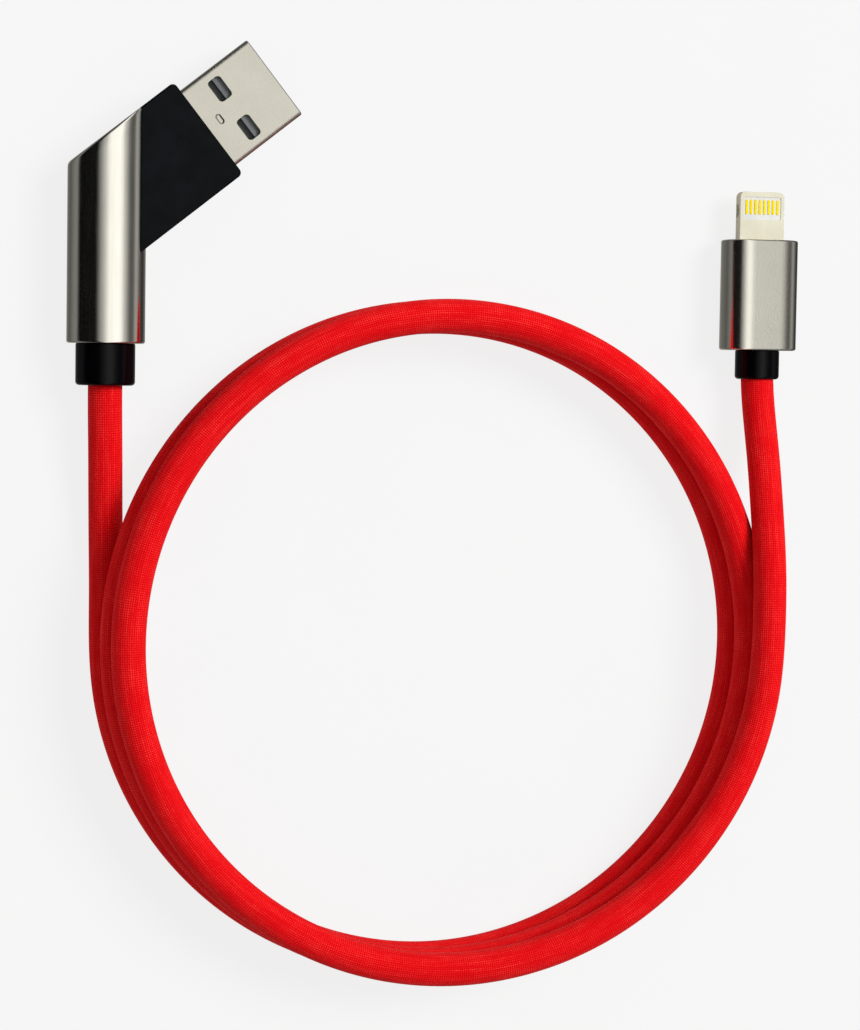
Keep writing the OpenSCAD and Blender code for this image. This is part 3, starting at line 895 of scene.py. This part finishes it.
def pads(side):
    """Eight raised contact bars with domed edges on one face of the block."""
    f = Faces()
    for i in range(PAD_COUNT):
        x = (i - (PAD_COUNT - 1) / 2) * PAD_PITCH
        outline = [(x + px, PAD_Y + py) for px, py in corner_ring(PAD_W, PAD_L, 0.19, 6)]
        rings = [
            [(px, py, side * (BLOCK_T / 2 + PAD_T - d)) for px, py in inset_ring(outline, inset)]
            for inset, d in [(0.0, 0.11)] + edge_steps(0.06, 4)[::-1]
        ]
        f.rings(rings)
        f.add(*rings[0])
        f.add(*rings[-1])
    return f


front_pads, back_pads = (
    piece(
        smooth(solid(f"phone_contacts_{face}_bars", pads(side), phone)),
        "contact_yellow",
        f"phone_contacts_{face}",
    )
    for face, side in (("front", 1), ("back", -1))
)

# ---------------------------------------------------------------- the CAD nodes that stay

for row in frame["record"]["subparts"]:
    node = frame["nodes"][row["node"]]
    node.data.materials.clear()
    node.data.materials.append(finish[row["material_slot"]])

# ---------------------------------------------------------------- studio

floor_mesh = bpy.data.meshes.new("floor")
HALF = 3.0
NEAR, DISTANT = 0.3, 1.2  # metres from the cable, between which the floor fades into the backdrop
PAPER = 0.93
floor_corners = [(-HALF, -HALF, 0), (HALF, -HALF, 0), (HALF, HALF, 0), (-HALF, HALF, 0)]
floor_mesh.from_pydata(floor_corners, [], [(0, 1, 2, 3)])
floor = bpy.data.objects.new("floor", floor_mesh)
scene.collection.objects.link(floor)
floor.visible_glossy = False
k = Nodes("floor_paper")
k.set(Roughness=0.9, Specular_IOR_Level=0.0)
k.shader.inputs["Emission Color"].default_value = (1, 1, 1, 1)
far = k.add("VectorMath", operation="LENGTH")
k.link(k.where, far.inputs[0])
far = far.outputs["Value"]
k.link(k.span(far, 0.83, PAPER, NEAR, DISTANT), k.shader.inputs["Emission Strength"])
mottle = k.span(k.noise(60, 2), 0.073, 0.077)
tone = k.math("MULTIPLY", mottle, k.span(far, 1, 0, NEAR, DISTANT))
k.link(tone, k.shader.inputs["Base Color"])
floor_mesh.materials.append(k.material)

world = bpy.data.worlds.new("studio")
scene.world = world
world.use_nodes = True
w = world.node_tree
w.nodes.clear()


def wnode(kind, **values):
    """A new node of the world's shader."""
    n = w.nodes.new("ShaderNode" + kind)
    for key, v in values.items():
        setattr(n, key, v)
    return n


# Softboxes and dark cards, by their angle from straight up towards +X, as (degrees, brightness)
STUDIO = [
    (-180, 0.4), (-160, 0.18), (-135, 0.1), (-108, 0.21), (-98, 0.22), (-93, 0.1),
    (-86, 0.003), (-33, 0.003), (-28, 0.07), (-20, 0.27), (-8, 0.56), (-2, 0.84), (4, 1.06),
    (9, 1.2), (18, 1.22), (22.5, 1.02), (28, 0.63), (34, 0.44), (40, 0.24), (47, 0.12),
    (55, 0.09), (63, 0.14), (71, 0.34), (80, 0.34), (88, 0.2), (97, 0.1), (110, 0.04),
    (126, 0.04), (150, 0.18), (180, 0.4),
]
WARM = (0.985, 0.93)  # green and blue of the reflections, against their red
coords = wnode("TexCoord")
parts = wnode("SeparateXYZ")
w.links.new(coords.outputs["Generated"], parts.inputs[0])
angle = wnode("Math", operation="ARCTAN2")
w.links.new(parts.outputs["X"], angle.inputs[0])
w.links.new(parts.outputs["Z"], angle.inputs[1])
share = wnode("MapRange")
share.inputs["From Min"].default_value = -math.pi
share.inputs["From Max"].default_value = math.pi
w.links.new(angle.outputs[0], share.inputs["Value"])
ramp = wnode("ValToRGB")
stops = ramp.color_ramp.elements
while len(stops) < len(STUDIO):
    stops.new(0.5)
for stop, (degrees, value) in zip(stops, STUDIO):
    stop.position = (degrees + 180) / 360
    stop.color = (value, value * WARM[0], value * WARM[1], 1)
w.links.new(share.outputs["Result"], ramp.inputs["Fac"])

FILL = 0.43
path = wnode("LightPath")
cards = wnode("Background")
w.links.new(ramp.outputs["Color"], cards.inputs["Color"])
fill = wnode("Background")
fill.inputs["Color"].default_value = (1, 1, 1, 1)
fill.inputs["Strength"].default_value = FILL
paper = wnode("Background")
paper.inputs["Color"].default_value = (PAPER, PAPER, PAPER, 1)
mix_gloss = wnode("MixShader")
w.links.new(path.outputs["Is Glossy Ray"], mix_gloss.inputs["Fac"])
w.links.new(fill.outputs[0], mix_gloss.inputs[1])
w.links.new(cards.outputs[0], mix_gloss.inputs[2])
mix_paper = wnode("MixShader")
w.links.new(path.outputs["Is Camera Ray"], mix_paper.inputs["Fac"])
w.links.new(mix_gloss.outputs[0], mix_paper.inputs[1])
w.links.new(paper.outputs[0], mix_paper.inputs[2])
out = wnode("OutputWorld")
w.links.new(mix_paper.outputs[0], out.inputs["Surface"])


def softbox(name, at, size, power):
    """A square lamp that faces the middle of the cable."""
    lamp = bpy.data.lights.new(name, "AREA")
    lamp.shape, lamp.size, lamp.energy = "SQUARE", size, power
    obj = bpy.data.objects.new(name, lamp)
    scene.collection.objects.link(obj)
    obj.visible_glossy = False
    at = Vector(at)
    aim = Vector((0, -0.04, 0)) - at
    obj.matrix_world = Matrix.Translation(at) @ aim.to_track_quat("-Z", "Y").to_matrix().to_4x4()
    return obj


softbox("key", (0.62, 0.33, 0.95), 0.5, 16)
